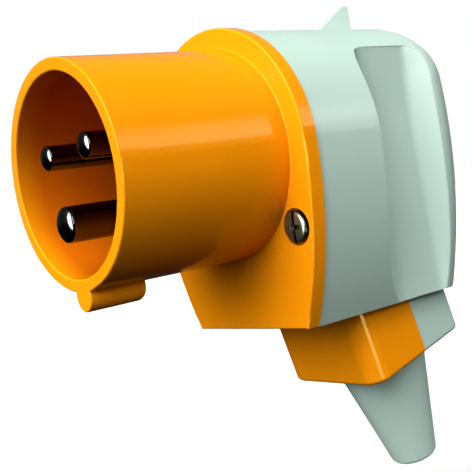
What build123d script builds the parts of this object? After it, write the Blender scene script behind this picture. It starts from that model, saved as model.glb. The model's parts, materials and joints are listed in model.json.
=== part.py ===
from build123d import *
import os
from math import cos, radians, sin, sqrt

# Frame: the origin is the centre of the shroud mouth. The mouth faces -Y,
# +Z is up and the housing runs back along +Y. All sizes are millimetres.

# Fits, and how far a cutter runs past what it cuts
gap = 0.15
slip = 0.05
over = 1.0

# Shroud and key
shroud_r = 22.0
shroud_wall = 2.55
shroud_depth = 37.3
shroud_draft = 0.3
rim_round = 0.35
root_round = 0.3
key_half = 2.8
key_reach = 3.75
key_length = 12.8
key_round = 1.6
key_root = 0.8

# Flange plate
plate_rim = 0.6
plate_taper = 8.4
plate_rise = 0.2
plate_t = 3.3
plate_round = 0.4

# Contact pins
pin_circle_r = 9.0
line_pin_r = 2.5
earth_pin_r = 3.5
line_tip_y = 0.5
earth_tip_y = -2.25
tip_crown = 1.5
tip_edge = 0.25
pin_step = 0.4
collar_t = 3.0
line_collar_r = 5.0
earth_collar_r = 5.8
line_terminal_r = 4.0
earth_terminal_r = 4.6
terminal_length = 17.0
line_wire_r = 2.0
earth_wire_r = 2.3
wire_depth = 11.0

# Terminal screws
terminal_screw_r = 2.0
terminal_head_r = 2.8
terminal_head_h = 2.0
terminal_screw_y = 6.5
terminal_standoff = 0.6

# Contact carrier
carrier_sink = 0.7
carrier_flange_t = 3.0
carrier_body_r = 16.5
carrier_body_t = 3.4
carrier_back_t = 4.0
carrier_screw_r = 1.5
carrier_screw_head_r = 2.75
carrier_screw_head_h = 1.9
carrier_screw_grip = 6.0
carrier_play = 0.45
carrier_key_half = 1.5
carrier_key_depth = 1.6
carrier_key_short = 0.6
hook_half = 4.0
hook_t = 1.4
hook_bite = 1.1

# Grey housing
body_r = 26.1
body_taper = 8.1
body_bottom = 37.4
body_length = 50.7
body_wall = 2.4
lip_t = 1.6
lip_length = 3.4

# Side grips and rounded rear end
grip_lead = 18.45
grip_r = 9.0
grip_depth = 8.6
grip_ledge = 1.11
grip_tail = 12.9
grip_ramp_r = 4.0
grip_cove_r = 1.3
tail_start = 46.0
tail_turn = 3.0
tail_inset = 4.01
tail_flare = 0.2
tail_pocket = 2.2
rear_bow_r = 260.0
rear_bow_z = 3.0
rear_round = 8.0
ridge_round = 0.5

# Retaining lug on the top
lug_half = 1.0
lug_length = 11.2
lug_crest = 1.6
lug_root = 2.0
lug_height = 6.2
lug_setback = 8.7

# Housing screws
screw_inset = 5.85
screw_z = 16.9
screw_r = 2.0
screw_head_r = 3.2
screw_head_h = 2.1
screw_head_round = 0.95
screw_head_room = 0.5
screw_sink = 1.2
screw_reach = 12.0
screw_end_room = 0.5
screw_slot = 0.9
screw_slot_depth = 1.05
screw_cross = 3.6
screw_turn = 4.5
insert_wall = 0.9
insert_length = 8.4
boss_r = 4.0
boss_room = 0.4
boss_inset = 0.3
retainer_t = 0.8
retainer_r = 3.0
retainer_play = 0.2

# Cable gland, leaning back from the vertical
gland_lean = 13.5
gland_setback = 20.56
gland_half = 14.6
gland_front = 16.4
gland_rear = 13.9
gland_seam = 0.55
gland_length = 13.85
gland_corner = 4.5
gland_back_corner = 2.0
gland_round = 1.0
gland_gap = 0.3
gland_neck_half = 9.5
gland_neck_front = 11.0
gland_neck_proud = 0.3
cable_grip_r = 5.2
cable_groove_r = 6.2
groove_t = 1.6
groove_start = 0.3
groove_pitch = 3.1
groove_count = 3

# Cable nozzle
nozzle_flange_r = 10.2
nozzle_flange_t = 1.7
nozzle_neck_r = 8.2
nozzle_floor_t = 1.8
nozzle_base_r = 11.05
nozzle_end_r = 5.45
nozzle_end_w = 41.5
nozzle_end_round = 1.2
nozzle_bore_r = 4.0
nozzle_bore_length = 14.0
nozzle_throat_r = 6.0

# Gland screws
clamp_u = 9.6
clamp_w = 7.5
clamp_screw_r = 1.5
clamp_head_r = 2.7
clamp_head_h = 2.4
clamp_head_round = 0.6
clamp_head_room = 0.2
clamp_sink = 4.0
clamp_insert_wall = 0.6
clamp_insert_length = 8.0
clamp_screw_short = 1.0
clamp_bore_extra = 3.0

# Stations along the plug axis that follow from the sizes above
plate_back = shroud_depth + plate_t
carrier_face = shroud_depth + carrier_sink
flange_back = plate_back + carrier_flange_t
collar_front = flange_back + carrier_body_t - collar_t
collar_back = collar_front + collar_t
back_plate_end = collar_back + carrier_back_t
terminal_end = collar_back + terminal_length
boss_face = plate_back + retainer_t + retainer_play
plate_r = body_r + plate_rim
plate_bottom = body_bottom - plate_rise
plate_half = plate_r - plate_taper
body_half = body_r - body_taper
rear_y = plate_back + body_length
grip_y = plate_back + grip_lead
grip_floor_x = body_r - grip_depth
tail_cos = cos(radians(tail_start))
tail_corner_r = (body_r - tail_inset - body_r * tail_cos) / (1 - tail_cos)
grip_floor_end = rear_y - grip_tail
grip_top_z = sqrt(body_r**2 - (grip_floor_x + grip_ledge)**2)
waist = grip_y + grip_r
cavity_front = grip_y - body_wall
lug_back_y = rear_y - lug_setback
lug_crest_y = lug_back_y - lug_crest
lug_toe_y = lug_back_y - lug_length
lug_top_z = body_r + lug_height
gland_y = rear_y - gland_setback
lip_outer = body_wall + gap
carrier_flange_r = body_r - lip_outer - lip_t - carrier_play
shroud_bore = shroud_r - shroud_wall
screw_x = body_r - screw_inset
screw_seat = shroud_depth + screw_sink
recess_r = screw_head_r + screw_head_room
far = 4 * body_r
pin_x = pin_circle_r * cos(radians(30))
pin_z = pin_circle_r * sin(radians(30))
nozzle_flange_w = gland_length - nozzle_floor_t - nozzle_flange_t

os.makedirs("parts", exist_ok=True)


def at_y(y):
    """Sketch plane across the plug axis: local x is X and local y is Z."""
    return Plane(origin=(0, y, 0), x_dir=(1, 0, 0), z_dir=(0, -1, 0))


def along_y(sketch, y0, y1):
    return extrude(at_y(y0) * sketch, amount=y1 - y0, dir=(0, 1, 0))


def rod(x, z, r, y0, y1):
    return along_y(Pos(x, z) * Circle(r), y0, y1)


def slab(x0, x1, y0, y1, z0, z1):
    middle = Pos((x0 + x1) / 2, (y0 + y1) / 2, (z0 + z1) / 2)
    return middle * Box(x1 - x0, y1 - y0, z1 - z0)


def arch(r, half, bottom, inset=0.0):
    """Half round top on two long side arcs and a flat bottom."""
    drop = r - half
    side = (bottom**2 + drop**2) / (2 * drop)
    centre = r - side
    top = r - inset
    bow = side - inset
    low = inset - bottom
    x_low = centre + sqrt(bow**2 - low**2)
    x_mid = centre + sqrt(bow**2 - low**2 / 4)
    return make_face([
        ThreePointArc((top, 0), (0, top), (-top, 0)),
        ThreePointArc((-top, 0), (-x_mid, low / 2), (-x_low, low)),
        Line((-x_low, low), (x_low, low)),
        ThreePointArc((x_low, low), (x_mid, low / 2), (top, 0)),
    ])


def body_arch(inset=0.0):
    return arch(body_r, body_half, body_bottom, inset)


def tail_outline(inset=0.0):
    """Outline behind the grips: the same top, narrower bowed sides."""
    a0 = radians(tail_start)
    a1 = radians(tail_turn)
    am = (a0 + a1) / 2
    top = body_r - inset
    corner = tail_corner_r - inset
    cx = (body_r - tail_corner_r) * cos(a0)
    cz = (body_r - tail_corner_r) * sin(a0)
    dx = cx + tail_corner_r * cos(a1) - body_half - tail_flare
    dz = cz + tail_corner_r * sin(a1) + body_bottom
    side = (dx**2 + dz**2) / (2 * (dx * cos(a1) + dz * sin(a1)))
    bow = side - inset
    bx = cx + (tail_corner_r - side) * cos(a1)
    bz = cz + (tail_corner_r - side) * sin(a1)
    p0 = (top * cos(a0), top * sin(a0))
    p1 = (cx + corner * cos(am), cz + corner * sin(am))
    p2 = (cx + corner * cos(a1), cz + corner * sin(a1))
    low = inset - body_bottom
    mid = (p2[1] + low) / 2
    p3 = (bx + sqrt(bow**2 - (mid - bz)**2), mid)
    p4 = (bx + sqrt(bow**2 - (low - bz)**2), low)
    m0, m1, m2, m3, m4 = [(-p[0], p[1]) for p in (p0, p1, p2, p3, p4)]
    return make_face([
        ThreePointArc(p0, (0, top), m0),
        ThreePointArc(m0, m1, m2),
        ThreePointArc(m2, m3, m4),
        Line(m4, p4),
        ThreePointArc(p4, p3, p2),
        ThreePointArc(p2, p1, p0),
    ])


def rear_limit(inset=0.0):
    """Everything in front of the slightly bowed rear face."""
    r = rear_bow_r - inset
    cy = rear_y - rear_bow_r
    high = 2 * body_bottom
    low = -high
    y_high = cy + sqrt(r**2 - (high - rear_bow_z)**2)
    y_low = cy + sqrt(r**2 - (low - rear_bow_z)**2)
    face = make_face([
        Line((0, high), (y_high, high)),
        ThreePointArc((y_high, high), (cy + r, rear_bow_z), (y_low, low)),
        Line((y_low, low), (0, low)),
        Line((0, low), (0, high)),
    ])
    return extrude(Plane.YZ * face, amount=far, both=True)


# Gland frame: local z runs down the cable, local y runs back across the seam
gland_dir = (0, sin(radians(gland_lean)), -cos(radians(gland_lean)))
gland = Plane(origin=(0, gland_y, -body_bottom), x_dir=(-1, 0, 0), z_dir=gland_dir)


def g_box(u0, u1, v0, v1, w0, w1):
    middle = Pos((u0 + u1) / 2, (v0 + v1) / 2, (w0 + w1) / 2)
    return gland * (middle * Box(u1 - u0, v1 - v0, w1 - w0))


def g_rod(r, w0, w1):
    return gland * (Pos(0, 0, (w0 + w1) / 2) * Cylinder(r, w1 - w0))


def g_bolt(u, r, v0, v1):
    return gland * (Pos(u, (v0 + v1) / 2, clamp_w) * Rot(90, 0, 0) * Cylinder(r, v1 - v0))


def save(name, shape):
    shape.label = name
    export_step(shape, "parts/" + name + ".step")


# Front shell: shroud, key, flange plate, locating lip and carrier hooks
shroud_base = shroud_r + shroud_draft
ring = make_face([
    Line((shroud_bore, 0), (shroud_r, 0)),
    Line((shroud_r, 0), (shroud_base, shroud_depth)),
    Line((shroud_base, shroud_depth), (shroud_base, plate_back)),
    Line((shroud_base, plate_back), (shroud_bore, plate_back)),
    Line((shroud_bore, plate_back), (shroud_bore, 0)),
])
shroud = revolve(ring, axis=Axis.Y)
shroud = fillet(shroud.faces().sort_by(Axis.Y)[0].edges(), rim_round)
plate = along_y(arch(plate_r, plate_half, plate_bottom), shroud_depth, plate_back)
plate = fillet(plate.faces().sort_by(Axis.Y)[0].edges(), plate_round)
front_shell = plate - rod(0, 0, shroud_bore, shroud_depth - over, plate_back + over) + shroud
root = front_shell.edges().filter_by(GeomType.CIRCLE)
root = root.filter_by(lambda e: abs(e.radius - shroud_base) < slip)
root = root.filter_by(lambda e: abs(e.center().Y - shroud_depth) < slip)
front_shell = fillet(root, root_round)
key_tip = shroud_r + key_reach - key_half
key = along_y(Pos(0, -key_tip) * Circle(key_half), 0, key_length)
key = key + slab(-key_half, key_half, 0, key_length, -key_tip, -shroud_bore - over)
key = fillet(key.faces().sort_by(Axis.Y)[-1].edges(), key_round)
key = fillet(key.faces().sort_by(Axis.Y)[0].edges(), rim_round)
front_shell = front_shell + (key - rod(0, 0, shroud_bore + key_root, -over, key_length + over))
lip = along_y(body_arch(lip_outer) - body_arch(lip_outer + lip_t), plate_back, plate_back + lip_length)
hook_inner = carrier_flange_r - hook_bite
hooks = slab(-body_r, body_r, flange_back + slip, flange_back + slip + hook_t, -hook_half, hook_half)
hooks = hooks - slab(-hook_inner, hook_inner, plate_back, 2 * flange_back, -body_r, body_r)
hooks = hooks & along_y(body_arch(lip_outer), plate_back, 2 * flange_back)
hook_arms = slab(-body_r, body_r, plate_back, flange_back + 2 * slip, -hook_half, hook_half)
hook_band = body_arch(lip_outer) - body_arch(lip_outer + lip_t)
hook_arms = hook_arms & along_y(hook_band, plate_back, flange_back + over)
carrier_key = slab(-carrier_key_half, carrier_key_half, plate_back, flange_back - carrier_key_short,
                   carrier_flange_r - carrier_key_depth, body_r - lip_outer - lip_t / 2)
front_shell = front_shell + lip + hook_arms + hooks + carrier_key
for side in (-1, 1):
    x = side * screw_x
    front_shell = front_shell - rod(x, -screw_z, boss_r + boss_room, plate_back, plate_back + 2 * lip_length)
    front_shell = front_shell - rod(x, -screw_z, screw_r + gap, shroud_depth - over, plate_back + over)
    front_shell = front_shell - rod(x, -screw_z, recess_r, shroud_depth - over, screw_seat)
save("front_shell", front_shell)

# Rear shell: outside shape
tail_body = along_y(tail_outline(), waist, rear_y + 5) & rear_limit()
rear_edges = tail_body.faces().sort_by(Axis.Y)[-1].edges()
rear_edges = rear_edges.filter_by(lambda e: e.center().Z > gap - body_bottom)
tail_body = fillet(rear_edges, rear_round)
rear_shell = along_y(body_arch(), plate_back, waist) + tail_body
ramp_x = grip_floor_x + grip_ramp_r
ramp_y = grip_floor_end + grip_ramp_r
turn = sqrt(0.5)
grip_x = grip_floor_x + grip_r
grip_face = make_face([
    Line((3 * body_r, grip_y), (grip_x, grip_y)),
    ThreePointArc((grip_x, grip_y),
                  (grip_x - grip_r * turn, waist - grip_r * turn), (grip_floor_x, waist)),
    Line((grip_floor_x, waist), (grip_floor_x, grip_floor_end)),
    ThreePointArc((grip_floor_x, grip_floor_end),
                  (ramp_x - grip_ramp_r * turn, grip_floor_end + grip_ramp_r * turn), (ramp_x, ramp_y)),
    Line((ramp_x, ramp_y), (3 * body_r, ramp_y)),
    Line((3 * body_r, ramp_y), (3 * body_r, grip_y)),
])
grip = extrude(Pos(0, 0, -2 * body_bottom) * grip_face, amount=2 * body_bottom + grip_top_z)
inner_edges = grip.faces().sort_by(Axis.Z)[-1].edges()
inner_edges = inner_edges.filter_by(lambda e: e.position_at(0.5).X < ramp_x)
cove = (grip - fillet(inner_edges, grip_cove_r)) & rear_shell
rear_shell = rear_shell - grip - mirror(grip, about=Plane.YZ)
ridge = rear_shell.edges().filter_by(lambda e: e.position_at(0.5).Y > grip_floor_end + over)
ridge = ridge.filter_by(lambda e: e.position_at(0.5).Y < ramp_y + slip)
ridge = ridge.filter_by(lambda e: abs(e.position_at(0.5).X) > grip_floor_x + over)
ridge = ridge.filter_by(lambda e: gap - body_bottom < e.position_at(0.5).Z < grip_top_z - gap)
ridge = ridge.filter_by(lambda e: e.geom_type != GeomType.LINE)
rear_shell = fillet(ridge, ridge_round)
rear_shell = rear_shell + cove + mirror(cove, about=Plane.YZ)
lug_face = make_face(Polyline(
    (lug_toe_y - lug_root, body_r - lug_root), (lug_toe_y, body_r), (lug_crest_y, lug_top_z),
    (lug_back_y, lug_top_z), (lug_back_y, body_r - lug_root), (lug_toe_y - lug_root, body_r - lug_root)))
rear_shell = rear_shell + extrude(Plane.YZ * lug_face, amount=lug_half, both=True)

# Rear shell: inside, with the walls kept even behind the grips
inner_x = grip_floor_x - body_wall
hollow = along_y(body_arch(body_wall), plate_back - over, cavity_front)
waist_room = along_y(tail_outline(body_wall), cavity_front - over, rear_y)
waist_room = waist_room & slab(-inner_x, inner_x, 0, rear_y, -body_bottom, body_r)
tail_room = along_y(tail_outline(body_wall), ramp_y + body_wall, rear_y)
tail_room = tail_room & slab(-inner_x - tail_pocket, inner_x + tail_pocket, 0, rear_y, -body_bottom, body_r)
hollow = hollow + ((waist_room + tail_room) & rear_limit(body_wall))
rear_shell = rear_shell - hollow
for side in (-1, 1):
    boss = rod(side * screw_x, -screw_z, boss_r, boss_face, cavity_front + over)
    rear_shell = rear_shell + (boss & along_y(body_arch(boss_inset), boss_face, waist))
    rear_shell = rear_shell - rod(side * screw_x, -screw_z, screw_r + insert_wall, boss_face - over,
                                  boss_face + insert_length)
    rear_shell = rear_shell - rod(side * screw_x, -screw_z, screw_r + gap, boss_face,
                                  screw_seat + screw_reach + screw_end_room)
    rear_shell = rear_shell - rod(side * screw_x, -screw_z, retainer_r + gap, plate_back - over, boss_face)

# Gland block, split into the grey rear half and the yellow clamp
block = Pos(0, (gland_rear - gland_front) / 2) * Rectangle(2 * gland_half, gland_front + gland_rear)
corners = block.vertices().group_by(Axis.Y)
block = fillet(corners[-1], gland_back_corner)
corners = block.vertices().group_by(Axis.Y)
block = fillet(corners[0], gland_corner)
block = gland * extrude(Pos(0, 0, -gland_half) * block, amount=gland_half + gland_length)
gland_axis = Axis((0, gland_y, -body_bottom), gland_dir)
block = fillet(block.faces().sort_by(gland_axis)[-1].edges(), gland_round)
neck_edge = gland_neck_half + gap
neck_room = g_box(-neck_edge, neck_edge, -gland_neck_front - gap, gland_seam, -far, far)
under = slab(-far, far, -far, 2 * far, -far, -body_bottom - gland_gap)
in_floor = slab(-far, far, -far, 2 * far, -body_bottom - gland_gap,
                gland_neck_proud + body_wall - body_bottom)
rear_half = block & g_box(-far, far, gland_seam, far, -far, far)
rear_half = rear_half & slab(-far, far, -far, 2 * far, -far, body_wall / 2 - body_bottom)
floor_hole = neck_room & slab(-far, far, 0, 2 * far, -body_bottom - over, body_wall + over - body_bottom)
rear_shell = rear_shell - floor_hole + rear_half
neck = g_box(-gland_neck_half, gland_neck_half, -gland_neck_front, gland_seam - slip, -far, far)
clamp = (block & g_box(-far, far, -far, gland_seam - slip, -far, far) & under) + (neck & in_floor)

# Cable way, nozzle seat and screw holes through both halves
way = g_rod(cable_grip_r, -gland_half, gland_length + over)
for turn_no in range(groove_count):
    step = groove_start + turn_no * groove_pitch
    way = way + g_rod(cable_groove_r, step, step + groove_t)
nozzle_neck_w = nozzle_flange_w + nozzle_flange_t
way = way + g_rod(nozzle_flange_r + gap, nozzle_flange_w - slip, nozzle_neck_w + slip)
way = way + g_rod(nozzle_neck_r + gap, nozzle_neck_w, gland_length + over)
rear_shell = rear_shell - way
clamp = clamp - way
for side in (-1, 1):
    u = side * clamp_u
    rear_shell = rear_shell - g_bolt(u, clamp_screw_r + gap, gland_seam - over, gland_rear + over)
    rear_shell = rear_shell - g_bolt(u, clamp_head_r + clamp_head_room, gland_rear - clamp_sink,
                                     gland_rear + clamp_sink)
    clamp = clamp - g_bolt(u, clamp_screw_r + clamp_insert_wall + slip,
                           gland_seam - slip - clamp_insert_length, gland_seam + over)
    clamp = clamp - g_bolt(u, clamp_screw_r + gap,
                           gland_seam - clamp_insert_length - clamp_bore_extra, gland_seam)
save("rear_shell", rear_shell)
save("gland_clamp", clamp)

# Cable nozzle
nozzle_face = make_face(Polyline(
    (nozzle_throat_r, nozzle_flange_w), (nozzle_flange_r, nozzle_flange_w),
    (nozzle_flange_r, nozzle_neck_w), (nozzle_neck_r, nozzle_neck_w),
    (nozzle_neck_r, gland_length + slip), (nozzle_base_r, gland_length + slip),
    (nozzle_end_r, nozzle_end_w), (nozzle_bore_r, nozzle_end_w),
    (nozzle_bore_r, nozzle_end_w - nozzle_bore_length), (nozzle_throat_r, nozzle_flange_w)))
nozzle = revolve(Plane.XZ * nozzle_face, axis=Axis.Z)
end_edges = nozzle.edges().filter_by(GeomType.CIRCLE)
end_edges = end_edges.filter_by(lambda e: abs(e.radius - nozzle_end_r) < slip)
nozzle = fillet(end_edges, nozzle_end_round)
save("cable_nozzle", gland * nozzle)

# Gland screws and their brass inserts
clamp_screws = []
clamp_inserts = []
clamp_seat = gland_rear - clamp_sink
clamp_top = clamp_seat + clamp_head_h
across_seam = Axis((0, gland_y, -body_bottom), gland.y_dir)
insert_start = gland_seam - slip - clamp_insert_length
for side in (-1, 1):
    u = side * clamp_u
    screw = g_bolt(u, clamp_screw_r, insert_start + clamp_screw_short, clamp_seat)
    head = g_bolt(u, clamp_head_r, clamp_seat, clamp_top)
    head = fillet(head.faces().sort_by(across_seam)[-1].edges(), clamp_head_round)
    slot = Pos(u, clamp_top, clamp_w) * Box(screw_slot, clamp_head_h, 2 * clamp_head_r)
    clamp_screws.append(screw + (head - gland * slot))
    brass = g_bolt(u, clamp_screw_r + clamp_insert_wall, insert_start, gland_seam - slip)
    clamp_inserts.append(brass - g_bolt(u, clamp_screw_r + slip, insert_start - over, gland_seam + over))
save("clamp_screws", Compound(children=clamp_screws))
save("clamp_inserts", Compound(children=clamp_inserts))

# Contact pins: shank, collar and wire terminal turned from one bar
line_sizes = (line_pin_r, line_tip_y, line_collar_r, line_terminal_r, line_wire_r)
earth_sizes = (earth_pin_r, earth_tip_y, earth_collar_r, earth_terminal_r, earth_wire_r)
pins = {
    "line_pin": (pin_x, pin_z, 1, line_sizes),
    "neutral_pin": (-pin_x, pin_z, 1, line_sizes),
    "earth_pin": (0, -pin_circle_r, -1, earth_sizes),
}
screw_at = back_plate_end + terminal_screw_y
carrier = rod(0, 0, shroud_bore - gap, carrier_face, plate_back)
carrier = carrier + rod(0, 0, carrier_flange_r, plate_back, flange_back)
carrier = carrier + rod(0, 0, carrier_body_r, flange_back, collar_back)
carrier_back = rod(0, 0, carrier_body_r, collar_back, back_plate_end)
for name, (x, z, up, sizes) in pins.items():
    r, tip, collar_r, term_r, wire_r = sizes
    crown = Pos(x, tip + tip_crown * r, z) * Sphere(tip_crown * r)
    nose = rod(x, z, r, tip, tip + r) & crown
    nose_edges = nose.edges().filter_by(GeomType.CIRCLE).filter_by(lambda e: abs(e.radius - r) < slip)
    nose = fillet(nose_edges.sort_by(Axis.Y)[0], tip_edge * r)
    pin = nose + rod(x, z, r, tip + r, collar_front)
    pin = pin + rod(x, z, r + pin_step, carrier_face, collar_front)
    pin = pin + rod(x, z, collar_r, collar_front, collar_back)
    pin = pin + rod(x, z, term_r, collar_back, terminal_end)
    pin = pin - rod(x, z, wire_r, terminal_end - wire_depth, terminal_end + over)
    across = Plane(origin=(x, screw_at, z), x_dir=(1, 0, 0), z_dir=(0, 0, up))
    pin = pin - extrude(across * Circle(terminal_screw_r + slip), amount=2 * term_r)
    save(name, pin)
    seat = term_r + terminal_standoff
    screw = extrude(across.offset(wire_r / 2) * Circle(terminal_screw_r), amount=seat - wire_r / 2)
    head = extrude(across.offset(seat) * Circle(terminal_head_r), amount=terminal_head_h)
    slot = across.offset(seat + terminal_head_h) * Rectangle(2 * terminal_head_r, screw_slot)
    head = head - extrude(slot, amount=-terminal_head_h / 2)
    save(name.replace("_pin", "_terminal_screw"), screw + head)
    carrier = carrier - rod(x, z, r + pin_step + slip, carrier_face - over, collar_front + slip)
    carrier = carrier - rod(x, z, collar_r + slip, collar_front, collar_back + over)
    carrier_back = carrier_back - rod(x, z, term_r + slip, collar_back - over, back_plate_end + over)
carrier_slot = carrier_key_half + gap
carrier = carrier - slab(-carrier_slot, carrier_slot, plate_back - over, flange_back + over,
                         carrier_flange_r - carrier_key_depth - gap, body_r)
carrier = carrier - rod(0, 0, carrier_screw_r + slip, collar_back - carrier_screw_grip, collar_back + over)
carrier_back = carrier_back - rod(0, 0, carrier_screw_r + gap, collar_back - over, back_plate_end + over)
save("contact_carrier", carrier)
save("carrier_back", carrier_back)
screw = rod(0, 0, carrier_screw_r, collar_back - carrier_screw_grip + screw_end_room, back_plate_end)
head = rod(0, 0, carrier_screw_head_r, back_plate_end, back_plate_end + carrier_screw_head_h)
head = head - slab(-carrier_screw_head_r, carrier_screw_head_r,
                   back_plate_end + carrier_screw_head_h / 2, back_plate_end + carrier_screw_head_h,
                   -screw_slot / 2, screw_slot / 2)
save("carrier_screw", screw + head)

# Housing screws, their captive washers and the brass inserts in the bosses
screws = []
washers = []
inserts = []
head_front = screw_seat - screw_head_h
for side in (-1, 1):
    x = side * screw_x
    head = rod(x, -screw_z, screw_head_r, head_front, screw_seat)
    head = fillet(head.faces().sort_by(Axis.Y)[0].edges(), screw_head_round)
    slot = Box(screw_slot, 2 * screw_slot_depth, 2 * screw_head_r)
    slot = slot + Box(screw_cross, 2 * screw_slot_depth, screw_slot)
    head = head - Pos(x, head_front, -screw_z) * Rot(0, side * screw_turn, 0) * slot
    screws.append(head + rod(x, -screw_z, screw_r, screw_seat, screw_seat + screw_reach))
    washer = rod(x, -screw_z, retainer_r, plate_back, plate_back + retainer_t)
    washers.append(washer - rod(x, -screw_z, screw_r + slip, plate_back - over, boss_face))
    brass = rod(x, -screw_z, screw_r + insert_wall - slip, boss_face, boss_face + insert_length)
    hole = rod(x, -screw_z, screw_r + slip, boss_face - over, boss_face + insert_length + over)
    inserts.append(brass - hole)
save("housing_screws", Compound(children=screws))
save("screw_retainers", Compound(children=washers))
save("housing_inserts", Compound(children=inserts))
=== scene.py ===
# %% [markdown]
# A three-pin plug, dressed from its CAD frame
#
# The plug is a right-angle one. A glossy yellow front carries a round shroud with three
# pins inside, a grey housing sits behind it with a scooped grip on each side, and the
# cable leaves through a leaning gland with a tapered sleeve. The solids come from the CAD
# model and stay where they are. This script adds what the CAD leaves to Blender: finishes,
# screws with their recesses and threads, the slopes of the grips, light, a floor and the
# camera. Blender works in metres here, so MM turns millimetres into its units.

# %% Load the frame
import json
import math

import bmesh
import bpy
from mathutils import Matrix, Vector

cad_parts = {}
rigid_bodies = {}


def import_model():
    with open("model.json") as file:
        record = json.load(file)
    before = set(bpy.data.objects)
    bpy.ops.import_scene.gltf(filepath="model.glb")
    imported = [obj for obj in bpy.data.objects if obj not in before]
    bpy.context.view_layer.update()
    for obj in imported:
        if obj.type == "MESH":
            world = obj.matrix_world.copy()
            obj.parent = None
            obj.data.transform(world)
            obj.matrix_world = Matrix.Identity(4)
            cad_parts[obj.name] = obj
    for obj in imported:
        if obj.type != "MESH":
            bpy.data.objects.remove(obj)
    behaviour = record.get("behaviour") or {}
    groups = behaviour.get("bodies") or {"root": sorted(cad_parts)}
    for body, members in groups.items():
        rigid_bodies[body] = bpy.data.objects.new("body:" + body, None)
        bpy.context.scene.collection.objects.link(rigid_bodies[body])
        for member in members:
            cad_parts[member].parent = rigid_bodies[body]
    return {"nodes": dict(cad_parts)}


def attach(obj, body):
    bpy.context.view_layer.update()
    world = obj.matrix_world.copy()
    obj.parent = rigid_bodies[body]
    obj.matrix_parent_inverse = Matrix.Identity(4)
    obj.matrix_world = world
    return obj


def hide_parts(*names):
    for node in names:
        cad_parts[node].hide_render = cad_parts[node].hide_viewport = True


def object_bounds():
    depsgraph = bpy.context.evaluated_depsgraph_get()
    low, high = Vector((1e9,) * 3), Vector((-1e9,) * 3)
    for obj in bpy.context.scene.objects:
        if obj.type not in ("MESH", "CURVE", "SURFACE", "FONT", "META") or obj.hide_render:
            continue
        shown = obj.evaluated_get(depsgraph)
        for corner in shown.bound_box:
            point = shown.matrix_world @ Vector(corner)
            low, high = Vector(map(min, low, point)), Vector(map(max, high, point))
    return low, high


for leftover in list(bpy.data.objects):
    bpy.data.objects.remove(leftover)
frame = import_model()
nodes = frame["nodes"]
cad_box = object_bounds()
scene = bpy.context.scene
MM = 0.001


def in_mm(box):
    """A box's two corners in millimetres, for printing."""
    return [[round(v / MM, 1) for v in corner] for corner in box]


print("nodes:", ", ".join(sorted(nodes)))
print("CAD box in mm:", in_mm(cad_box))

# %% [markdown]
# The camera comes first, because every later choice is compared with the photograph.
# The photograph was taken from the right of the shroud, a little below its axis, with
# the camera rolled by about ten degrees. A camera could be aimed at a point, but that
# leaves the roll out. Its place and lens were worked out from the circles of the shroud,
# so a point and two directions are enough: where it stands, where it looks and which way
# is right in the picture.

# %% Camera
eye = Vector((146.51, -74.14, -12.18)) * MM
ahead = Vector((-0.7942, 0.6071, -0.0264)).normalized()
picture_right = Vector((0.6018, 0.7796, -0.1734))
up = picture_right.cross(ahead).normalized()
right = ahead.cross(up)
lens = bpy.data.cameras.new("camera")
lens.sensor_width = 36.0
lens.lens = 65.97
lens.clip_start = 0.005
lens.clip_end = 50.0
camera = bpy.data.objects.new("camera", lens)
camera.matrix_world = Matrix.Translation(eye) @ Matrix((right, up, -ahead)).transposed().to_4x4()
scene.collection.objects.link(camera)
scene.camera = camera
scene.view_settings.view_transform = "Standard"
print("camera stands", round(eye.length / MM), "mm from the shroud mouth")

# %% [markdown]
# Node trees are easier to read as sums than as boxes. A Wire stands for one output
# socket, and arithmetic on wires adds the Math nodes. Every other node comes from add(),
# which takes the node's type, its settings and its inputs.


# %% Shader arithmetic
class Wire:
    """One output socket of a node tree. Arithmetic on it adds Math nodes."""

    def __init__(self, tree, socket):
        self.tree = tree
        self.socket = socket

    def maths(self, operation, a, b):
        inputs = {0: a, 1: b}
        return add(self.tree, "ShaderNodeMath", {"operation": operation}, inputs)

    def __add__(self, other):
        return self.maths("ADD", self, other)

    def __radd__(self, other):
        return self.maths("ADD", other, self)

    def __sub__(self, other):
        return self.maths("SUBTRACT", self, other)

    def __rsub__(self, other):
        return self.maths("SUBTRACT", other, self)

    def __mul__(self, other):
        return self.maths("MULTIPLY", self, other)

    def __rmul__(self, other):
        return self.maths("MULTIPLY", other, self)

    def clamp(self, low, high):
        return self.maths("MINIMUM", self.maths("MAXIMUM", self, low), high)


def join(tree, value, socket):
    """Links a wire to a socket, or writes a number or colour on it."""
    if isinstance(value, Wire):
        tree.links.new(value.socket, socket)
    else:
        socket.default_value = value


def add(tree, kind, settings=None, inputs=None, out=0):
    """Adds a node with its settings, then its inputs, and returns one output."""
    node = tree.nodes.new(kind)
    for name, value in (settings or {}).items():
        setattr(node, name, value)
    for key, value in (inputs or {}).items():
        join(tree, value, node.inputs[key])
    return Wire(tree, node.outputs[out])


print("shader arithmetic ready")

# %% [markdown]
# Every finish is made of the same few steps: a place on the piece, a noise, a soft step
# and a mix of two colours. All of them read Object coordinates, which are metres in the
# plug's own frame, so a pattern keeps its scale and nothing has to be unwrapped. The
# colour sockets of the Mix node share their names with its other sockets, so they are
# found by number.

# %% Shader steps
COLOUR_A, COLOUR_B, COLOUR_OUT = 6, 7, 2


def new_material(name):
    """A material with its node tree and its Principled shader."""
    material = bpy.data.materials.new(name)
    material.use_nodes = True
    return material, material.node_tree, material.node_tree.nodes["Principled BSDF"]


def along(tree, axis):
    """The Object coordinate along X, Y or Z."""
    place = add(tree, "ShaderNodeTexCoord", out="Object")
    return add(tree, "ShaderNodeSeparateXYZ", None, {0: place}, axis)


def noise(tree, place, per_metre, detail):
    """A soft noise from 0 to 1, with so many patches to the metre."""
    inputs = {"Vector": place, "Scale": per_metre, "Detail": detail}
    return add(tree, "ShaderNodeTexNoise", None, inputs)


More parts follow.
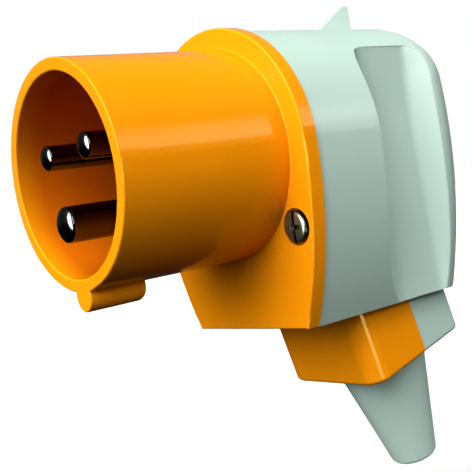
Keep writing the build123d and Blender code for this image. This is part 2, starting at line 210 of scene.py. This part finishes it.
def ramp(tree, value, low, high):
    """0 below low, 1 above high and a smooth step between them."""
    inputs = {"Value": value, "From Min": low, "From Max": high}
    return add(tree, "ShaderNodeMapRange", {"interpolation_type": "SMOOTHSTEP"}, inputs)


def tint(tree, share, a, b):
    """A colour between a and b, each of them three numbers or a wire."""
    a, b = (end if isinstance(end, Wire) else (*end, 1.0) for end in (a, b))
    inputs = {0: share, COLOUR_A: a, COLOUR_B: b}
    return add(tree, "ShaderNodeMix", {"data_type": "RGBA"}, inputs, COLOUR_OUT)


print("shader steps ready")

# %% [markdown]
# A moulded plastic is never one flat colour. The pigment drifts a little over
# centimetres, the surface copies the fine texture of the steel mould, and the gloss
# changes where hands have been. Pictures of the surface could carry that, but noises at
# those three scales do it with no seams. The yellow needs two more things. Its gloss is
# tinted, because its highlights are yellow and not white. Inside the shroud its base
# colour is painted a deeper orange, as painted shade for the light that bounces from wall to wall there.

# %% Plastic finishes
pigment_patches = 45.0
haze_patches = 160.0
noise_middle = (0.3, 0.7)
painted_shade_edge = 0.96
painted_shade_fade = 6 * MM


def moulded(name, dark, light, rough, grain, grain_depth, specular,
            drift=0.03, sheen=(1, 1, 1), painted_bore_shade=None):
    """A moulded plastic: pigment drift, mould grain and a slightly uneven gloss.

    A painted bore shade is a radius round the Y axis and the deeper orange painted inside it as shade.
    """
    material, tree, shader = new_material(name)
    place = add(tree, "ShaderNodeTexCoord", out="Object")
    cloud = noise(tree, place, pigment_patches, 2.0)
    haze = noise(tree, place, haze_patches, 3.0)
    texture = noise(tree, place, 1 / grain, 2.0)
    colour = tint(tree, ramp(tree, cloud, *noise_middle), dark, light)
    # Painted shade: inside the shroud's radius the base colour turns a deeper orange, for light bouncing
    # wall to wall.
    if painted_bore_shade:
        radius, deep = painted_bore_shade
        x, y, z = (along(tree, axis) for axis in "XYZ")
        inside = 1 - ramp(tree, x * x + z * z, (painted_shade_edge * radius) ** 2, radius ** 2)
        colour = tint(tree, inside * ramp(tree, y, 0.0, painted_shade_fade), colour, deep)
    join(tree, colour, shader.inputs["Base Color"])
    join(tree, rough + 2 * drift * (haze - 0.5), shader.inputs["Roughness"])
    relief = {"Height": texture, "Strength": 1.0, "Distance": grain_depth}
    join(tree, add(tree, "ShaderNodeBump", None, relief), shader.inputs["Normal"])
    shader.inputs["Specular IOR Level"].default_value = specular
    shader.inputs["Specular Tint"].default_value = (*sheen, 1.0)
    print("finish:", name)
    return material


# The second colour of the yellow's bore is painted shade, a deeper orange inside the shroud.
yellow = moulded("yellow_plastic", dark=(0.88, 0.28, 0.002), light=(0.91, 0.294, 0.003),
                 rough=0.085, grain=1.6 * MM, grain_depth=0.002 * MM, specular=0.25,
                 sheen=(1.0, 0.72, 0.25), painted_bore_shade=(21 * MM, (0.69, 0.145, 0.002)))
grey = moulded("grey_plastic", dark=(0.43, 0.578, 0.505), light=(0.45, 0.6, 0.525),
               rough=0.31, grain=0.35 * MM, grain_depth=0.004 * MM, specular=0.5, drift=0.015)
sleeve = moulded("grey_elastomer", dark=(0.5, 0.68, 0.595), light=(0.52, 0.7, 0.615),
                 rough=0.48, grain=0.3 * MM, grain_depth=0.006 * MM, specular=0.4)
carrier = moulded("dark_plastic", dark=(0.03, 0.028, 0.027), light=(0.045, 0.042, 0.04),
                  rough=0.45, grain=0.4 * MM, grain_depth=0.006 * MM, specular=0.4)
nylon = moulded("nylon", dark=(0.72, 0.71, 0.66), light=(0.8, 0.79, 0.75),
                rough=0.5, grain=0.5 * MM, grain_depth=0.004 * MM, specular=0.4)

# %% [markdown]
# The metals are turned and plated. A lathe leaves fine rings round a pin, and the rod that
# a screw is made of has streaks along it. A wave on the distance from the axis would need
# each piece's own axis, so a noise does both: squeezed along Y for the rings of the pins,
# and drawn out along Y for the steel and the brass. A finish can also be painted darker
# below a given depth, as painted shade in the recesses of the front screws.

# %% Metal finishes
pin_rings = (900, 2500, 900)
rod_streaks = (1500, 400, 1500)
smudge_patches = 220.0
mark_gloss = 0.05
mark_depth = 0.002 * MM


def turned(name, dark, light, rough, marks_per_metre, painted_recess_shade=None):
    """A turned metal with fine marks and faint smudges.

    The recess shade is painted shade: the depths along Y where it starts and where it covers all, and
    its dark colour.
    """
    material, tree, shader = new_material(name)
    place = add(tree, "ShaderNodeTexCoord", out="Object")
    squeezed = add(tree, "ShaderNodeMapping", None, {"Vector": place, "Scale": marks_per_metre})
    marks = noise(tree, squeezed, 1.0, 3.0)
    smudge = noise(tree, place, smudge_patches, 2.0)
    colour = tint(tree, ramp(tree, smudge, *noise_middle), dark, light)
    # Painted shade: below the given depth the colour turns near-black, darkening the screw recesses.
    if painted_recess_shade:
        start, end, recess_shade_colour = painted_recess_shade
        colour = tint(tree, ramp(tree, along(tree, "Y"), start, end), colour, recess_shade_colour)
    join(tree, colour, shader.inputs["Base Color"])
    join(tree, rough + mark_gloss * (marks - 0.5), shader.inputs["Roughness"])
    relief = {"Height": marks, "Strength": 0.5, "Distance": mark_depth}
    join(tree, add(tree, "ShaderNodeBump", None, relief), shader.inputs["Normal"])
    shader.inputs["Metallic"].default_value = 1.0
    print("finish:", name)
    return material


# The pins' metal is set near-black, as painted shade for the dark surroundings that the pins reflect.
shade_dark_chrome = turned("pin_metal", dark=(0.085, 0.082, 0.08), light=(0.105, 0.102, 0.099),
                rough=0.06, marks_per_metre=pin_rings)
steel = turned("screw_steel", dark=(0.17, 0.172, 0.14), light=(0.25, 0.25, 0.21),
               rough=0.34, marks_per_metre=rod_streaks)
brass = turned("brass", dark=(0.7, 0.47, 0.17), light=(0.78, 0.54, 0.21),
               rough=0.34, marks_per_metre=rod_streaks)

# %% [markdown]
# The CAD nodes have their true form already, so they only need a finish. Smoother copies
# could be modelled over them, but then two shapes would have to agree. A node's own mesh
# is left alone, and its material slots take the new materials. The plain screws get one
# too, though finer ones stand for them further down.

# %% Dress the CAD nodes
finishes = {
    "front_shell": yellow, "gland_clamp": yellow, "rear_shell": grey, "cable_nozzle": sleeve,
    "contact_carrier": carrier, "carrier_back": carrier, "carrier_screw": steel,
    "line_pin": shade_dark_chrome, "neutral_pin": shade_dark_chrome, "earth_pin": shade_dark_chrome,
    "line_terminal_screw": steel, "neutral_terminal_screw": steel, "earth_terminal_screw": steel,
    "housing_screws": steel, "clamp_screws": steel, "housing_inserts": brass,
    "clamp_inserts": brass, "screw_retainers": nylon,
}
for node, finish in finishes.items():
    nodes[node].data.materials.clear()
    nodes[node].data.materials.append(finish)
print(len(finishes), "nodes dressed")

# %% [markdown]
# Two screws hold the yellow front on the housing and two hold the clamp on the gland. The
# real ones are pan heads with a slot and a short cross, so that either screwdriver fits,
# above a rolled thread. The CAD has plain solids of the same size. Their sizes could be
# written here again, but a size that is read from the solid can't go stale: each screw is
# measured in its own axes, with its head towards +Z.

# %% Measure the screws
gland_lean = 13.5
head_margin = 1.1


def screw_size(node, facing, side):
    """The seat and sizes of one CAD screw, on the side of the plug where side is +1 or -1."""
    home = facing.transposed()
    points = [home @ v.co for v in nodes[node].data.vertices if v.co.x * side > 0]
    low = Vector(map(min, *points))
    high = Vector(map(max, *points))
    axis = (low + high) / 2
    away = [math.hypot(p.x - axis.x, p.y - axis.y) for p in points]
    shank = max(r for r, p in zip(away, points) if p.z < axis.z)
    under = min(p.z for r, p in zip(away, points) if r > head_margin * shank)
    return {"seat": facing @ Vector((axis.x, axis.y, high.z)), "head_r": max(away),
            "head_h": high.z - under, "shank_r": shank, "length": high.z - low.z}


front_facing = Matrix.Rotation(math.radians(90), 3, "X")
clamp_facing = Matrix.Rotation(math.radians(gland_lean - 90), 3, "X")
front_screw = screw_size("housing_screws", front_facing, 1)
clamp_screw = screw_size("clamp_screws", clamp_facing, 1)
print("front screw head:", round(2 * front_screw["head_r"] / MM, 1), "mm across")
print("clamp screw head:", round(2 * clamp_screw["head_r"] / MM, 1), "mm across")

# %% [markdown]
# The pieces that follow are skins through rings of points, first round the axis of a
# screw and later along a grip. Spin or Screw modifiers could turn a profile, but a stack
# of rings also takes a radius that changes round the turn, as a thread's does.

# %% Rings and meshes
around = 64


def circle(radii, height):
    """One ring of points at a height, with a radius for each step round the axis."""
    points = []
    for i, r in enumerate(radii):
        turn = math.tau * (i / around)
        points.append((r * math.cos(turn), r * math.sin(turn), height))
    return points


def ring_stack(body, rings):
    """Skins rings of points with quads and closes both ends."""
    loops = [[body.verts.new(p) for p in ring] for ring in rings]
    for one, two in zip(loops, loops[1:]):
        for i in range(len(one)):
            j = (i + 1) % len(one)
            body.faces.new((one[i], two[i], two[j], one[j]))
    body.faces.new(loops[0])
    body.faces.new(loops[-1])
    bmesh.ops.recalc_face_normals(body, faces=body.faces)


def link_up(name, mesh):
    """A new object in the scene for a mesh."""
    piece = bpy.data.objects.new(name, mesh)
    scene.collection.objects.link(piece)
    return piece


def piece_from(name, body):
    """A new object in the scene from a bmesh, which is freed."""
    mesh = bpy.data.meshes.new(name)
    body.to_mesh(mesh)
    body.free()
    return link_up(name, mesh)


def flattened(piece):
    """The piece's mesh with its modifiers applied."""
    graph = bpy.context.evaluated_depsgraph_get()
    return bpy.data.meshes.new_from_object(piece.evaluated_get(graph), depsgraph=graph)


def settle(piece, crease):
    """Makes the modifiers of a piece final, and smooth what bends by less than the crease."""
    mesh = flattened(piece)
    piece.modifiers.clear()
    piece.data = mesh
    mesh.shade_smooth()
    mesh.set_sharp_from_angle(angle=math.radians(crease))
    return mesh


print("rings have", around, "points")

# %% [markdown]
# The head of a screw is a low dome with a rounded edge. The slot and the cross are cut by
# two Boolean modifiers, because the recess has square walls that no turning can give, and
# a small Bevel takes the sharpness off them.

# %% Screw head
crown = 0.12 * MM
edge_share = 0.42
dome_steps = 6
edge_steps = 8
cross_depth_share = 0.6


def head_rings(size):
    """Rings of a domed head with a rounded edge, from the top of the dome to the seat."""
    edge = edge_share * size["head_h"]
    flat = size["head_r"] - edge
    profile = [(flat * k / dome_steps, -crown * (k / dome_steps) ** 2) for k in range(1, dome_steps)]
    for k in range(edge_steps + 1):
        bend = math.radians(90) * k / edge_steps
        profile.append((flat + edge * math.sin(bend), -crown - edge * (1 - math.cos(bend))))
    profile.append((size["head_r"], -size["head_h"]))
    return [circle([radius] * around, height) for radius, height in profile]


def recess_bar(name, across, along_slot, depth):
    """A box that cuts one bar of the recess, from as far above the head as it goes down."""
    body = bmesh.new()
    shape = Matrix.Diagonal((across, along_slot, 2 * depth, 1.0))
    bmesh.ops.create_cube(body, size=1.0, matrix=shape)
    return piece_from(name, body)


def head_mesh(size, slot, slot_depth, cross):
    """The mesh of a head with its recess cut and its edges softened."""
    body = bmesh.new()
    ring_stack(body, head_rings(size))
    blank = piece_from("blank", body)
    bars = [recess_bar("slot_bar", slot, 3 * size["head_r"], slot_depth),
            recess_bar("cross_bar", cross, slot, cross_depth_share * slot_depth)]
    for bar in bars:
        cut = blank.modifiers.new(bar.name, "BOOLEAN")
        cut.operation = "DIFFERENCE"
        cut.object = bar
    soft = blank.modifiers.new("soft_edges", "BEVEL")
    soft.width = 0.05 * MM
    soft.segments = 2
    soft.limit_method = "ANGLE"
    soft.angle_limit = math.radians(40)
    mesh = flattened(blank)
    for spare in (blank, *bars):
        bpy.data.objects.remove(spare)
    return mesh


print("a head has", len(head_rings(front_screw)), "rings")

# %% [markdown]
# The thread is one more stack of rings. The radius of each ring follows the turn and the
# height together, so the ridge climbs like a rolled one, and it narrows to a blunt point.
# The two kinds of screw differ only in their sizes. The steel of the front ones is painted
# near-black a little way below the top of the head, as painted shade in their recesses.

# %% Thread and whole screw
root_share = 0.8
head_overlap = 0.2 * MM
steps_per_pitch = 6
point_share = 0.75
point_steps = 4


def thread_rings(size, pitch):
    """Rings of a thread from just inside the head to a blunt point."""
    crest = size["shank_r"]
    root = root_share * crest
    top = head_overlap - size["head_h"]
    tip = -size["length"]
    steps = int((size["length"] - size["head_h"]) / pitch * steps_per_pitch)
    rings = []
    for k in range(steps + 1):
        height = top + (tip - top) * k / steps
        taper = min(1.0, point_share + (1 - point_share) * (steps - k) / point_steps)
        climbs = [(height / pitch + i / around) % 1.0 for i in range(around)]
        ridges = [1 - abs(2 * climb - 1) for climb in climbs]
        rings.append(circle([taper * (root + (crest - root) * ridge) for ridge in ridges], height))
    return rings


def pan_screw(name, size, slot, slot_depth, cross, pitch):
    """One screw along Z with the top of its head at zero."""
    body = bmesh.new()
    body.from_mesh(head_mesh(size, slot, slot_depth, cross))
    ring_stack(body, thread_rings(size, pitch))
    screw = piece_from(name, body)
    print(name, "has", len(screw.data.polygons), "faces")
    return screw


front_pattern = pan_screw("front_screw", front_screw, slot=0.9 * MM, slot_depth=1.05 * MM,
                          cross=3.6 * MM, pitch=0.8 * MM)
clamp_pattern = pan_screw("clamp_screw", clamp_screw, slot=0.8 * MM, slot_depth=1.0 * MM,
                          cross=2.8 * MM, pitch=0.7 * MM)
head_y = front_screw["seat"].y
# The front screws' steel is painted near-black below the top of the head, as painted shade in their
# recesses.
recess_shaded_steel = turned("recess_shaded_steel", dark=(0.3, 0.36, 0.25), light=(0.42, 0.49, 0.34),
                      rough=0.3, marks_per_metre=rod_streaks,
                      painted_recess_shade=(head_y + 0.2 * MM, head_y + 0.75 * MM, (0.02, 0.018, 0.012)))

# %% [markdown]
# The screws repeat, so a Geometry Nodes tree sets them in a row: a line of points, one
# screw on each, and a small turn that changes sign from one to the next, because nobody
# stops two slots at the same angle. The tree's inputs are the row's own sizes. Its result
# becomes a plain mesh, since an instance wouldn't survive the export.

# %% A tree that sets screws in a row
screw_row = bpy.data.node_groups.new("screw_row", "GeometryNodeTree")
row_inputs = {
    "Screw": "NodeSocketObject", "Count": "NodeSocketInt", "First Seat": "NodeSocketVector",
    "Step": "NodeSocketVector", "Facing": "NodeSocketVector", "Tilt": "NodeSocketFloat",
    "Finish": "NodeSocketMaterial",
}
for label, kind in row_inputs.items():
    screw_row.interface.new_socket(name=label, in_out="INPUT", socket_type=kind)
screw_row.interface.new_socket(name="Row", in_out="OUTPUT", socket_type="NodeSocketGeometry")
row_in = screw_row.nodes.new("NodeGroupInput")
given = {label: Wire(screw_row, row_in.outputs[label]) for label in row_inputs}
line = add(screw_row, "GeometryNodeMeshLine", None,
           {"Count": given["Count"], "Start Location": given["First Seat"], "Offset": given["Step"]})
shape = add(screw_row, "GeometryNodeObjectInfo", None, {"Object": given["Screw"]}, "Geometry")
placed = add(screw_row, "GeometryNodeInstanceOnPoints", None,
             {"Points": line, "Instance": shape, "Rotation": given["Facing"]})
number = add(screw_row, "GeometryNodeInputIndex")
twist = add(screw_row, "ShaderNodeCombineXYZ", None, {"Z": given["Tilt"] * (1 - 2 * number)})
turned_in = add(screw_row, "GeometryNodeRotateInstances", None, {"Instances": placed, "Rotation": twist})
real = add(screw_row, "GeometryNodeRealizeInstances", None, {0: turned_in})
coated = add(screw_row, "GeometryNodeSetMaterial", None, {"Geometry": real, "Material": given["Finish"]})
row_out = screw_row.nodes.new("NodeGroupOutput")
join(screw_row, coated, row_out.inputs["Row"])
print("screw row inputs:", ", ".join(row_inputs))

# %% [markdown]
# Each row gets its sizes, becomes a plain mesh and rides on the plug, where it stands for
# the plain screws of the CAD. Four screws could be placed by hand, but a row follows the
# seats that were measured. The patterns themselves go once they are used.

# %% Set the screws
screw_crease = 38


def set_row(name, node, pattern, size, facing, tilt, finish):
    """Two screws, one each side of the plug, in place of a CAD node."""
    settings = {
        "Screw": pattern, "Count": 2, "First Seat": size["seat"],
        "Step": Vector((-2 * size["seat"].x, 0.0, 0.0)), "Facing": Vector(facing.to_euler()),
        "Tilt": math.radians(tilt), "Finish": finish,
    }
    row = link_up(name, bpy.data.meshes.new(name))
    modifier = row.modifiers.new("row", "NODES")
    modifier.node_group = screw_row
    for socket in screw_row.interface.items_tree:
        if socket.in_out == "INPUT":
            modifier[socket.identifier] = settings[socket.name]
    mesh = settle(row, screw_crease)
    bpy.data.objects.remove(pattern)
    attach(row, "root")
    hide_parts(node)
    print(name, "has", len(mesh.polygons), "faces")


set_row("front_screw_row", "housing_screws", front_pattern, front_screw, front_facing,
        tilt=-4.5, finish=recess_shaded_steel)
set_row("clamp_screw_row", "clamp_screws", clamp_pattern, clamp_screw, clamp_facing,
        tilt=11.0, finish=steel)

# %% [markdown]
# Behind its floor, the scooped grip rises to the rear ridge in a flat slope, and its top
# runs out softly under the round of the housing. The CAD has small coves there. A sculpted
# patch could cover them, but both slopes follow one rule: a straight line that starts on
# the floor and just touches the edge above it. Rays on the surface give the profile at
# each station, and the steepest line from the foot is that tangent. A short curve rounds
# the foot, and a corner that is buried in the housing closes the outline.

# %% Outline of a slope
tangent_tries = 80
foot_share = 0.3
foot_sink = 0.01 * MM
foot_steps = 6
corner_step = 0.1 * MM
corner_depth = 0.4 * MM


def stations(low, high, steps):
    """Evenly spaced places from low to high, with both ends."""
    return [low + (high - low) * k / steps for k in range(steps + 1)]


def side_of(pieces, y, z):
    """How far out the right side of some pieces is at a depth and a height."""
    outside = Vector((1.0, y, z))
    inwards = Vector((-1.0, 0.0, 0.0))
    far = 0.0
    for piece in pieces:
        found, place, _, _ = piece.ray_cast(outside, inwards)
        if found:
            far = max(far, place.x)
    return far


def slope_section(profile, foot, limit, soft):
    """A wedge's outline as (place, height) pairs: a soft foot, the slope and a buried corner."""
    base = profile(foot)
    tries = stations(foot, limit, tangent_tries)[1:]
    touch = max(tries, key=lambda place: (profile(place) - base) / (place - foot))
    rise = (profile(touch) - base) / (touch - foot)
    soft = min(soft, foot_share * (touch - foot))
    before = (foot - soft, profile(foot - soft) - foot_sink)
    after = (foot + soft, base + rise * soft)
    outline = []
    for s in stations(0.0, 1.0, foot_steps):
        outline.append(tuple((1 - s) ** 2 * a + 2 * s * (1 - s) * b + s * s * c
                             for a, b, c in zip(before, (foot, base), after)))
    outline.append((touch, profile(touch)))
    outline.append((touch + corner_step, base - corner_depth))
    return outline


shell = nodes["rear_shell"]
floor_middle = (70 * MM, -10 * MM)
print("grip floor is", round(side_of([shell], *floor_middle) / MM, 1), "mm from the middle")

# %% [markdown]
# A wedge is a stack of those outlines. The one at the top of the grip comes first, with a
# station about every half millimetre along the plug, so that the rear one can stand on it.
# The rear one climbs the whole height of the grip, and its foot drifts backwards towards
# the bottom, as the crease does on the real plug. A Boolean joins the two into one closed
# skin, and a Mirror makes the other side.

# %% Slopes of the grips
top_near, top_far, top_steps = 64.0 * MM, 81.0 * MM, 32
ledge_z = 18.32 * MM
ledge_reach = 0.3 * MM
top_run = 14.0 * MM
top_soft = 4.0 * MM
crease_y = 78.7 * MM
crease_drift = 1.4 * MM
drift_top, drift_length = 10 * MM, 40 * MM
ridge_limit = 83.6 * MM
rear_low, rear_high, rear_steps = -36.9 * MM, 18.1 * MM, 44
rear_soft = 0.8 * MM
slope_crease = 30


def wedge(name, sections):
    """A closed wedge through its sections, ready for rays."""
    body = bmesh.new()
    ring_stack(body, sections)
    piece = piece_from(name, body)
    bpy.context.view_layer.update()
    return piece


sections = []
for y in stations(top_near, top_far, top_steps):
    outline = slope_section(lambda z: side_of([shell], y, z),
                            ledge_z - top_run, ledge_z + ledge_reach, top_soft)
    sections.append([(x, y, z) for z, x in outline])
grip_slopes = wedge("grip_slopes", sections)

sections = []
for z in stations(rear_low, rear_high, rear_steps):
    drift = min(1.0, max(0.0, (drift_top - z) / drift_length))
    outline = slope_section(lambda y: side_of([shell, grip_slopes], y, z),
                            crease_y + crease_drift * drift, ridge_limit, rear_soft)
    sections.append([(x, y, z) for y, x in outline])
rear_slope = wedge("rear_slope", sections)

union = grip_slopes.modifiers.new("union", "BOOLEAN")
union.operation = "UNION"
union.object = rear_slope
grip_slopes.modifiers.new("other_side", "MIRROR").use_mirror_merge = False
slope_mesh = settle(grip_slopes, slope_crease)
bpy.data.objects.remove(rear_slope)
slope_mesh.materials.clear()
slope_mesh.materials.append(grey)
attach(grip_slopes, "root")
print("grip slopes have", len(slope_mesh.polygons), "faces")

# %% [markdown]
# Light: a photographer hangs soft boxes round a product. Lamps could stand for them, but a
# soft box far away is only a bright patch of sky, so each one is a round lobe in the world,
# brightest in one direction. The strongest stands in front of the mouth and to its right,
# another higher and to the left, one is on the camera's side, one hangs overhead and two
# light the back. White for the camera is a separate term, so that the pale backdrop adds
# no light to the object. Gloss and metal see a small share of that white and of the boxes,
# and least of the white below the horizon, so that their reflections stay deep.

# %% Studio tent
soft_boxes = {
    "front": ((0.2, -0.78, 0.6), 11.5),
    "high front": ((-0.15, -0.72, 0.68), 5.5),
    "camera side": ((0.55, -0.55, 0.63), 2.7),
    "overhead": ((0.35, -0.2, 0.91), 2.0),
    "rear right": ((0.61, 0.61, 0.5), 1.4),
    "rear left": ((-0.66, 0.7, 0.25), 6.0),
}
boxes_in_gloss = 0.04
white_below, white_above, white_behind = 0.01, 0.03, 0.05
horizon = (-0.05, 0.1)
behind_plug, behind_edge = (-0.79, 0.61, 0.0), (0.1, 0.5)
world = bpy.data.worlds.new("studio")
scene.world = world
world.use_nodes = True
sky = world.node_tree
way = add(sky, "ShaderNodeTexCoord", out="Generated")


def towards(direction):
    """Cosine of the angle between the looked-at way and a direction."""
    inputs = {0: way, 1: Vector(direction).normalized()}
    return add(sky, "ShaderNodeVectorMath", {"operation": "DOT_PRODUCT"}, inputs, "Value")


def lobe(direction):
    """A round patch of sky about forty degrees wide: the twelfth power of the cosine."""
    share = towards(direction).clamp(0.0, 1.0)
    square = share * share
    fourth = square * square
    return fourth * fourth * fourth


tent = 0.0
for direction, strength in soft_boxes.values():
    tent = tent + lobe(direction) * strength
path = sky.nodes.new("ShaderNodeLightPath")
camera_sees, gloss_ray, glass_ray = (
    Wire(sky, path.outputs[f"Is {ray} Ray"]) for ray in ("Camera", "Glossy", "Transmission"))
gloss_sees = (gloss_ray + glass_ray).clamp(0.0, 1.0)
above = ramp(sky, towards((0, 0, 1)), *horizon)
behind = ramp(sky, towards(behind_plug), *behind_edge) * above
white = camera_sees + gloss_sees * (white_below + white_above * above + white_behind * behind)
boxes = (1 - camera_sees - (1 - boxes_in_gloss) * gloss_sees) * tent
background = sky.nodes["Background"]
background.inputs["Color"].default_value = (1.0, 1.0, 1.0, 1.0)
join(sky, white + boxes, background.inputs["Strength"])
print("soft boxes:", ", ".join(soft_boxes))

# %% [markdown]
# Lit panels make the highlights, because a highlight is a mirror picture of a light. A
# long one on the right stands along the plug and fades towards its top: it draws the pale
# band with a sharp lower edge on the shroud, and its far end does the same on the edge of
# the flange. A tall one in front puts the white spots on the domed pin tips, and a window
# beside the camera brightens the slope of the grip. A small one low on the right draws the
# thin line down the corner of the clamp. Area lamps could do it, but a sheet with an
# emission can have any outline and a fade. The sheets are out of the camera's sight, and
# all but the first show only in gloss.

# %% Lit panels
side_x = 0.5
side_near, side_middle, side_far = 0.1, 0.465, 0.75
side_low, side_high = 0.117, 0.5
side_look = {"strength": 5.8, "fade": (0.16, 0.38)}


def flat_sheet(name, corners):
    """A new object in the scene with one four-cornered face."""
    mesh = bpy.data.meshes.new(name)
    mesh.from_pydata(corners, [], [(0, 1, 2, 3)])
    return link_up(name, mesh)


def upright(start, end, low, high):
    """The corners of an upright sheet over two points of the ground."""
    return [(*start, low), (*end, low), (*end, high), (*start, high)]


def lit_panel(name, corners, strength, fade=None, lights=False):
    """A glowing sheet. With fade, it dims between two heights; without lights, only gloss sees it."""
    panel = flat_sheet(name, corners)
    panel.visible_camera = False
    panel.visible_diffuse = lights
    glow, tree, default_shader = new_material(name)
    tree.nodes.remove(default_shader)
    level = strength * (1 - ramp(tree, along(tree, "Z"), *fade)) if fade else strength
    light = add(tree, "ShaderNodeEmission", None, {"Strength": level})
    join(tree, light, tree.nodes["Material Output"].inputs["Surface"])
    panel.data.materials.append(glow)
    print("panel:", name)


lit_panel("side_panel", upright((side_x, side_near), (side_x, side_middle), side_low, side_high),
          **side_look, lights=True)
lit_panel("flange_panel", upright((side_x, side_middle), (side_x, side_far), side_low, side_high),
          **side_look)
lit_panel("window_panel", upright((0.52, -0.25), (0.36, -0.46), 0.05, 0.5), strength=4.5)
lit_panel("front_panel", [(0.02, -0.7, -0.25), (0.28, -0.7, -0.25), (0.26, -0.7, 0.95),
                          (-0.3, -0.7, 0.75)], strength=14.0)
lit_panel("edge_panel", upright((0.172, 0.006), (0.163, 0.058), -0.135, -0.08), strength=14.0)

# %% [markdown]
# A plain pale floor lies a little way under the plug, which hangs as it does in the
# photograph. White could come from the world alone, but a real surface also catches the
# plug's soft shadow. It gives no light back to the plug, so its colour can't tint it.

# %% Floor
floor_drop = 30 * MM
floor_reach = 6.0
paper_white = 0.6
floor_z = cad_box[0].z - floor_drop
quarters = ((-1, -1), (1, -1), (1, 1), (-1, 1))
floor = flat_sheet("floor", [(x * floor_reach, y * floor_reach, floor_z) for x, y in quarters])
floor.visible_diffuse = False
floor.visible_glossy = False
paper, _, paper_shader = new_material("paper")
paper_shader.inputs["Base Color"].default_value = (paper_white, paper_white, paper_white, 1.0)
paper_shader.inputs["Roughness"].default_value = 0.9
paper_shader.inputs["Specular IOR Level"].default_value = 0.0
floor.data.materials.append(paper)
print("floor at", round(floor_z / MM), "mm")
